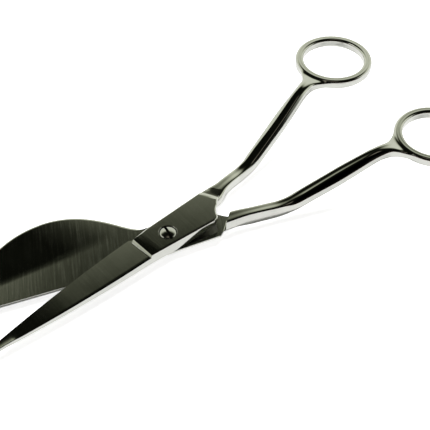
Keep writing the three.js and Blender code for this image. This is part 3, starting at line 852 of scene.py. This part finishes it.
def paddle():
    """Shells that shrink towards a place inside the outline: ground underside, rim and hollow face."""
    loop = paddle_outline()
    centre = Vector((PADDLE_MIDDLE.x, PADDLE_MIDDLE.y + PADDLE_BREADTH / 3))
    shares = [1 - i / CURVE_STEPS for i in range(CURVE_STEPS)]
    under = LOWER_INNER - PADDLE_THICKNESS
    sections = []

    def shell(share, level, bevel=0.0):
        flat = [centre + (p - centre) * share for p in loop]
        outer = [smooth(PADDLE_MIDDLE.y, PADDLE_CREASE_Y, p.y) for p in flat]
        return [Vector((p.x, p.y, level + spoon(p) - bevel * o)) for p, o in zip(flat, outer)]

    for share in reversed(shares):
        if share <= PADDLE_GRIND:
            sections.append(shell(share, under))
    sections.append(shell(1, LOWER_INNER - PADDLE_RIM))
    sections.append(shell(1, LOWER_INNER, PADDLE_BEVEL_DROP))
    for share in shares:
        sections.append(shell(min(share, 1 - PADDLE_BEVEL / PADDLE_BREADTH), LOWER_INNER))
    return loft("paddle", sections)


def thread_hole():
    radius = THREAD_RADIUS + RUNNING_CLEARANCE
    return lathe("thread_hole", [(0, -FAR), (radius, -FAR), (radius, FAR), (0, FAR)])


def under_cut():
    """Takes the shank's root away under the lower inner face, where the tang itself ends it."""
    corners = [(-FAR, -FAR), (LOWER_ROOT, -FAR), (LOWER_ROOT, FAR), (-FAR, FAR)]
    loop = [Vector(corner) for corner in corners]
    return loft("under_cut", [raised(loop, -FAR), raised(loop, LOWER_INNER - EDGE_BREAK)])


def lower_half():
    bar = cut(handle("bar", LOWER), lower_shoulder(), under_cut())
    return cut(join(lower_tang(), paddle(), bar), thread_hole())


# Pivot screw

def pivot_screw():
    crown = HEAD_RIM_TOP + HEAD_DOME
    bulge = HEAD_EDGE_SHARE * HEAD_EDGE_ROUND
    profile = [
        (0, SEAT_GAP),
        (THREAD_RADIUS - EDGE_BREAK, SEAT_GAP),
        (THREAD_RADIUS, SEAT_GAP + EDGE_BREAK),
        (THREAD_RADIUS, LOWER_INNER + SEAT_GAP),
        (JOURNAL_RADIUS, LOWER_INNER + SEAT_GAP),
        (JOURNAL_RADIUS, HEAD_SEAT),
        (HEAD_RADIUS, HEAD_SEAT),
        (HEAD_RADIUS, HEAD_RIM_TOP - HEAD_EDGE_ROUND),
        (HEAD_RADIUS - bulge, HEAD_RIM_TOP - bulge),
    ]
    ball = (HEAD_RADIUS**2 + HEAD_DOME**2) / (2 * HEAD_DOME)
    for i in range(CURVE_STEPS + 1):
        radius = (HEAD_RADIUS - HEAD_EDGE_ROUND) * (1 - i / CURVE_STEPS)
        profile.append((radius, crown - ball + math.sqrt(ball**2 - radius**2)))
    screw = lathe("screw", profile)
    bearing = math.radians(HEAD_LEAN_TOWARDS)
    lean = Vector((math.cos(bearing), math.sin(bearing)))
    for vertex in screw.data.vertices:
        if vertex.co.z > HEAD_RIM_TOP - HEAD_EDGE_ROUND / 2:
            vertex.co.z -= math.tan(math.radians(HEAD_LEAN)) * lean.dot(vertex.co.xy)
    half = SLOT_WIDTH / 2
    floor = crown - SLOT_DEPTH
    corners = [(-half, floor), (half, floor), (half, FAR), (-half, FAR)]
    turn = Matrix.Rotation(math.radians(SLOT_ANGLE - 90), 3, "Z")
    ends = []
    for reach in (-2 * HEAD_RADIUS, 2 * HEAD_RADIUS):
        ends.append([turn @ Vector((x, reach, z)) for x, z in corners])
    return cut(screw, loft("slot", ends))


# Materials

class Nodes:
    """Short ways to add and join shader nodes."""

    def __init__(self, tree):
        self.tree = tree

    def add(self, kind, inputs=None, **settings):
        node = self.tree.nodes.new(kind)
        for key, value in settings.items():
            setattr(node, key, value)
        for key, value in (inputs or {}).items():
            self.set(node.inputs[key], value)
        return node

    def set(self, socket, value):
        if isinstance(value, bpy.types.NodeSocket):
            self.tree.links.new(value, socket)
        else:
            socket.default_value = value

    def math(self, operation, *values):
        node = self.add("ShaderNodeMath", operation=operation)
        for socket, value in zip(node.inputs, values):
            self.set(socket, value)
        return node.outputs[0]

    def smooth_range(self, value, run, to=(0.0, 1.0)):
        """Maps a run of values to another one, with soft ends."""
        node = self.add("ShaderNodeMapRange", interpolation_type="SMOOTHSTEP")
        names = ("Value", "From Min", "From Max", "To Min", "To Max")
        for name, setting in zip(names, (value, *run, *to)):
            self.set(node.inputs[name], setting)
        return node.outputs["Result"]

    def noise(self, place, scale, detail):
        node = self.add("ShaderNodeTexNoise", {"Vector": place, "Scale": scale, "Detail": detail})
        return node.outputs["Fac"]

    def parts(self, vector):
        return self.add("ShaderNodeSeparateXYZ", {"Vector": vector}).outputs

    def dot(self, first, second):
        node = self.add("ShaderNodeVectorMath", {0: first, 1: second}, operation="DOT_PRODUCT")
        return node.outputs["Value"]

    def scale(self, colour, share):
        node = self.add("ShaderNodeVectorMath", {0: colour, "Scale": share}, operation="SCALE")
        return node.outputs["Vector"]

    def sum(self, first, second):
        node = self.add("ShaderNodeVectorMath", {0: first, 1: second}, operation="ADD")
        return node.outputs["Vector"]

    def mix(self, share, first, second):
        node = self.add("ShaderNodeMix", {"Factor": share, "A": first, "B": second})
        return node.outputs["Result"]

    def mix_colours(self, share, first, second):
        node = self.add("ShaderNodeMix", {"Factor": share, 6: first, 7: second}, data_type="RGBA")
        return node.outputs[2]


FALLING = (1.0, 0.0)


def in_metres(run):
    return [length * MM for length in run]


def new_metal(name):
    material = bpy.data.materials.new(name)
    material.use_nodes = True
    shader = material.node_tree.nodes["Principled BSDF"]
    shader.inputs["Metallic"].default_value = 1.0
    return material, Nodes(material.node_tree), shader


def steel(name, angle, brush_angle, brush, streak):
    """Ground and brushed steel on the blade and tang, polished steel on the handle."""
    material, nodes, shader = new_metal(name)
    place = nodes.add("ShaderNodeTexCoord").outputs["Object"]
    own = nodes.add("ShaderNodeMapping", {"Vector": place}, vector_type="TEXTURE")
    own.inputs["Location"].default_value = (PIVOT.x, PIVOT.y, 0)
    own.inputs["Rotation"].default_value = (0, 0, math.radians(angle))
    own = own.outputs["Vector"]
    parts = nodes.parts(own)
    handle_share = nodes.smooth_range(parts["X"], in_metres(POLISH_RUN))
    facing = nodes.parts(nodes.add("ShaderNodeNewGeometry").outputs["True Normal"])["Z"]
    # The downward faces of the upper heel's ground relief get painted shade in their colour and a duller
    # ground finish in their roughness.
    relief_shade_shares = (
        nodes.smooth_range(parts["Z"], in_metres(RELIEF_SHADE_LEVELS)),
        nodes.smooth_range(parts["X"], in_metres(RELIEF_SHADE_BACK), FALLING),
        nodes.smooth_range(parts["X"], in_metres(RELIEF_SHADE_FRONT)),
    )
    relief = nodes.smooth_range(facing, RELIEF_SHADE_FACING, FALLING)
    for share in relief_shade_shares:
        relief = nodes.math("MULTIPLY", relief, share)

    turned = nodes.add("ShaderNodeMapping", {"Vector": own})
    turned.inputs["Rotation"].default_value = (0, 0, math.radians(90 - brush_angle))
    turned = turned.outputs["Vector"]
    stretched = nodes.add("ShaderNodeMapping", {"Vector": turned, "Scale": BRUSH_SCALE})
    lines = nodes.noise(stretched.outputs["Vector"], 1.0, BRUSH_DETAIL)
    lines = nodes.math("MULTIPLY_ADD", lines, streak, 0.5 - 0.5 * streak)
    cloud = nodes.noise(own, CLOUD_SCALE, CLOUD_DETAIL)
    grain = nodes.noise(own, GRAIN_SCALE, GRAIN_DETAIL)

    brushed = nodes.smooth_range(lines, BRUSH_RANGE, BRUSHED_ROUGHNESS)
    brushed = nodes.math("MULTIPLY_ADD", cloud, BRUSHED_CLOUD, brushed)
    polished = nodes.math("MULTIPLY_ADD", cloud, POLISHED_CLOUD, POLISHED_ROUGHNESS)
    roughness = nodes.mix(handle_share, brushed, polished)
    roughness = nodes.math("MULTIPLY_ADD", relief, RELIEF_ROUGHNESS, roughness)
    nodes.set(shader.inputs["Roughness"], roughness)

    streaks = nodes.math("ADD", cloud, nodes.mix(handle_share, lines, cloud))
    tone = nodes.add("ShaderNodeValToRGB", {"Fac": nodes.math("MULTIPLY", streaks, 0.5)})
    for stop, position, shade in zip(tone.color_ramp.elements, STEEL_SHADE_STOPS, STEEL_SHADES):
        stop.position = position
        stop.color = (*[c * shade for c in STEEL_COLOUR], 1)
    # Painted shade under the upper heel.
    colour = nodes.mix_colours(relief, tone.outputs["Color"], RELIEF_PAINTED_SHADE)
    nodes.set(shader.inputs["Base Color"], colour)

    ground = nodes.math("SUBTRACT", 1.0, handle_share)
    height = nodes.math("MULTIPLY_ADD", grain, GRAIN_HEIGHT, nodes.math("MULTIPLY", lines, ground))
    bump = nodes.add("ShaderNodeBump", {"Height": height, "Strength": 1.0, "Distance": brush})
    nodes.set(shader.inputs["Normal"], bump.outputs["Normal"])
    return material


def screw_steel():
    """Polished steel with a few spots, and painted shade in the slot."""
    material, nodes, shader = new_metal("polished_screw_steel")
    place = nodes.add("ShaderNodeTexCoord").outputs["Object"]
    spots = nodes.noise(place, SPOT_SCALE, SPOT_DETAIL)
    tone = nodes.add("ShaderNodeValToRGB", {"Fac": spots})
    for stop, colour in zip(tone.color_ramp.elements, SCREW_COLOURS):
        stop.color = colour
    # Painted shade: the screw goes dark below a level just under its rim's top, which darkens the slot's
    # floor and lower walls.
    slot_shade = nodes.smooth_range(nodes.parts(place)["Z"], in_metres(SLOT_SHADE_LEVELS), FALLING)
    colour = nodes.mix_colours(slot_shade, tone.outputs["Color"], SLOT_PAINTED_SHADE)
    nodes.set(shader.inputs["Base Color"], colour)
    roughness = nodes.math("MULTIPLY_ADD", spots, SPOT_ROUGHNESS, SCREW_ROUGHNESS)
    nodes.set(shader.inputs["Roughness"], roughness)
    return material


# Dressing

def dress(obj, name, node, body, material, angle):
    """Turns a piece to its place at rest, in metres, gives it its material, ties it to its body and hides
    the node it dresses.
    """
    mesh = obj.data
    place = Matrix.Translation((PIVOT.x, PIVOT.y, 0)) @ Matrix.Rotation(math.radians(angle), 4, "Z")
    mesh.transform(place @ Matrix.Scale(MM, 4))
    for polygon in mesh.polygons:
        polygon.use_smooth = True
    mesh.set_sharp_from_angle(angle=math.radians(SHARP_ANGLE))
    normals = obj.modifiers.new("flat faces stay flat", "WEIGHTED_NORMAL")
    normals.keep_sharp = True
    mesh.materials.clear()
    mesh.materials.append(material)
    obj.name = name
    mesh.name = name
    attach(obj, body)
    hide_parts(node)


LOWER_TURN = -REST_OPENING / 2
UPPER_TURN = REST_OPENING / 2
KNIFE_STEEL = steel("knife_steel", UPPER_TURN, **KNIFE_BRUSH)
PADDLE_STEEL = steel("paddle_steel", LOWER_TURN, **PADDLE_BRUSH)
SCREW_STEEL = screw_steel()
dress(
    upper_half(),
    "knife_half_forging",
    node="knife_blade_half",
    body="knife_side",
    material=KNIFE_STEEL,
    angle=UPPER_TURN,
)
dress(
    lower_half(),
    "paddle_half_forging",
    node="paddle_blade_half",
    body="paddle_side",
    material=PADDLE_STEEL,
    angle=LOWER_TURN,
)
dress(
    pivot_screw(),
    "slotted_screw",
    node="pivot_screw",
    body="paddle_side",
    material=SCREW_STEEL,
    angle=LOWER_TURN,
)


# Stage: camera, pale table, surrounding room and a soft light from above, in metres

CAMERA_PLACE = Vector((-0.1308, -0.1757, 0.2333))
CAMERA_LOOK = Vector((0.4163, 0.5534, -0.7215))
CAMERA_LENS = 83.94
CAMERA_SENSOR = 36
CAMERA_NEAR = 0.01
CAMERA_RIGHT = CAMERA_LOOK.cross(Vector((0, 0, 1))).normalized()
CAMERA_AHEAD = Vector((CAMERA_LOOK.x, CAMERA_LOOK.y, 0)).normalized()

TABLE_SIZE = 4.0
TABLE_GAP = 0.00005
TABLE_COLOUR = (0.9, 0.9, 0.9, 1)
TABLE_GLOW = 0.8
TABLE_GLOW_MIRRORED = 0.1


def add_camera():
    data = bpy.data.cameras.new("camera")
    data.lens = CAMERA_LENS
    data.sensor_width = CAMERA_SENSOR
    data.clip_start = CAMERA_NEAR
    camera = bpy.data.objects.new("camera", data)
    camera.location = CAMERA_PLACE
    camera.rotation_euler = CAMERA_LOOK.to_track_quat("-Z", "Y").to_euler()
    bpy.context.scene.collection.objects.link(camera)
    bpy.context.scene.camera = camera


def table_glow(nodes):
    """The table's own light: most for the camera, less in mirrors, none for light that spreads."""
    path = nodes.add("ShaderNodeLightPath")
    mirrored = nodes.math("MAXIMUM", path.outputs["Is Glossy Ray"], path.outputs["Is Transmission Ray"])
    mirrored = nodes.math("MULTIPLY", mirrored, TABLE_GLOW_MIRRORED)
    seen = nodes.math("MULTIPLY", path.outputs["Is Camera Ray"], TABLE_GLOW)
    return nodes.math("MAXIMUM", mirrored, seen)


def add_table():
    half = TABLE_SIZE / 2
    corners = [(-half, -half, 0), (half, -half, 0), (half, half, 0), (-half, half, 0)]
    table = new_object("table", corners, [(0, 1, 2, 3)])
    table.location.z = cad_box[0].z - TABLE_GAP
    material = bpy.data.materials.new("pale_table")
    material.use_nodes = True
    tree = material.node_tree
    tree.nodes.clear()
    nodes = Nodes(tree)
    matt = nodes.add("ShaderNodeBsdfDiffuse", {"Color": TABLE_COLOUR})
    glow = nodes.add("ShaderNodeEmission", {"Strength": table_glow(nodes)})
    both = nodes.add("ShaderNodeAddShader")
    tree.links.new(matt.outputs[0], both.inputs[0])
    tree.links.new(glow.outputs[0], both.inputs[1])
    out = nodes.add("ShaderNodeOutputMaterial")
    tree.links.new(both.outputs[0], out.inputs["Surface"])
    table.data.materials.append(material)


def direction(ahead, right, elevation):
    """A direction from its bearing, as parts ahead and to the right, and its height in degrees."""
    flat = (CAMERA_AHEAD * ahead + CAMERA_RIGHT * right).normalized()
    rise = math.radians(elevation)
    return flat * math.cos(rise) + Vector((0, 0, math.sin(rise)))


# Soft lights in the room: direction, radius of the full light and of its end in degrees, colour.
ROOM_LIGHTS = [
    (direction(-0.35, -1.0, 34), 5, 14, (1.2, 1.2, 1.1)),
    (Vector((0, 0, 1)), 3, 13, (0.19, 0.172, 0.14)),
]
# Brightness of the pale walls by the sine of the height: they end above the table, below a dark ceiling.
ROOM_WALLS = [
    (0.50, (0.78, 0.80, 0.70)),
    (0.59, (0.66, 0.68, 0.57)),
    (0.645, (0.42, 0.44, 0.35)),
    (0.68, (0.23, 0.24, 0.185)),
    (0.71, (0.135, 0.142, 0.104)),
    (0.724, (0.067, 0.071, 0.050)),
    (0.745, (0.022, 0.024, 0.016)),
    (0.79, (0.004, 0.0045, 0.003)),
]
# The walls ahead are lit, and those behind the camera keep a small share.
ROOM_AHEAD = (-0.35, -0.05)
ROOM_BEHIND = 0.015
# A warm edge of the room low behind the camera.
ROOM_WARM = (0.2, 0.1, 0.055)
ROOM_WARM_BEHIND = (-0.2, -0.5)
ROOM_WARM_HEIGHT = (0.06, 0.18)
ROOM_FILL = 0.15  # share of the room's light that reaches dull surfaces

KEY_TOWARDS = direction(0.9, 0.1, 77)
KEY_DISTANCE = 0.9
KEY_SIZE = 0.5
KEY_ENERGY = 8.2


def add_room():
    world = bpy.data.worlds.new("room")
    bpy.context.scene.world = world
    world.use_nodes = True
    tree = world.node_tree
    tree.nodes.clear()
    nodes = Nodes(tree)
    ray = nodes.add("ShaderNodeTexCoord").outputs["Generated"]
    height = nodes.parts(ray)["Z"]
    ahead = nodes.dot(ray, CAMERA_AHEAD)

    wall = nodes.add("ShaderNodeValToRGB", {"Fac": height})
    stops = wall.color_ramp.elements
    stops[0].position, stops[1].position = ROOM_WALLS[0][0], ROOM_WALLS[-1][0]
    stops[0].color, stops[1].color = (*ROOM_WALLS[0][1], 1), (*ROOM_WALLS[-1][1], 1)
    for position, colour in ROOM_WALLS[1:-1]:
        stops.new(position).color = (*colour, 1)
    total = nodes.scale(wall.outputs["Color"], nodes.smooth_range(ahead, ROOM_AHEAD, (ROOM_BEHIND, 1.0)))
    for towards, full, end, colour in ROOM_LIGHTS:
        run = (math.cos(math.radians(end)), math.cos(math.radians(full)))
        share = nodes.smooth_range(nodes.dot(ray, towards), run)
        total = nodes.sum(total, nodes.scale(colour, share))
    behind = nodes.smooth_range(ahead, ROOM_WARM_BEHIND)
    low = nodes.smooth_range(height, ROOM_WARM_HEIGHT, FALLING)
    total = nodes.sum(total, nodes.scale(ROOM_WARM, nodes.math("MULTIPLY", behind, low)))

    path = nodes.add("ShaderNodeLightPath")
    strength = nodes.smooth_range(path.outputs["Is Diffuse Ray"], (0.0, 1.0), (1.0, ROOM_FILL))
    lit = nodes.add("ShaderNodeBackground", {"Color": total, "Strength": strength})
    plain = nodes.add("ShaderNodeBackground", {"Color": (1, 1, 1, 1)})
    pick = nodes.add("ShaderNodeMixShader", {"Fac": path.outputs["Is Camera Ray"]})
    tree.links.new(lit.outputs[0], pick.inputs[1])
    tree.links.new(plain.outputs[0], pick.inputs[2])
    out = nodes.add("ShaderNodeOutputWorld")
    tree.links.new(pick.outputs[0], out.inputs["Surface"])


def add_key_light():
    data = bpy.data.lights.new("key", "AREA")
    data.shape = "DISK"
    data.size = KEY_SIZE
    data.energy = KEY_ENERGY
    lamp = bpy.data.objects.new("key", data)
    lamp.location = KEY_TOWARDS * KEY_DISTANCE
    lamp.rotation_euler = (-KEY_TOWARDS).to_track_quat("-Z", "Y").to_euler()
    lamp.visible_glossy = False
    bpy.context.scene.collection.objects.link(lamp)


add_camera()
add_table()
add_room()
add_key_light()
bpy.context.scene.view_settings.view_transform = "Standard"
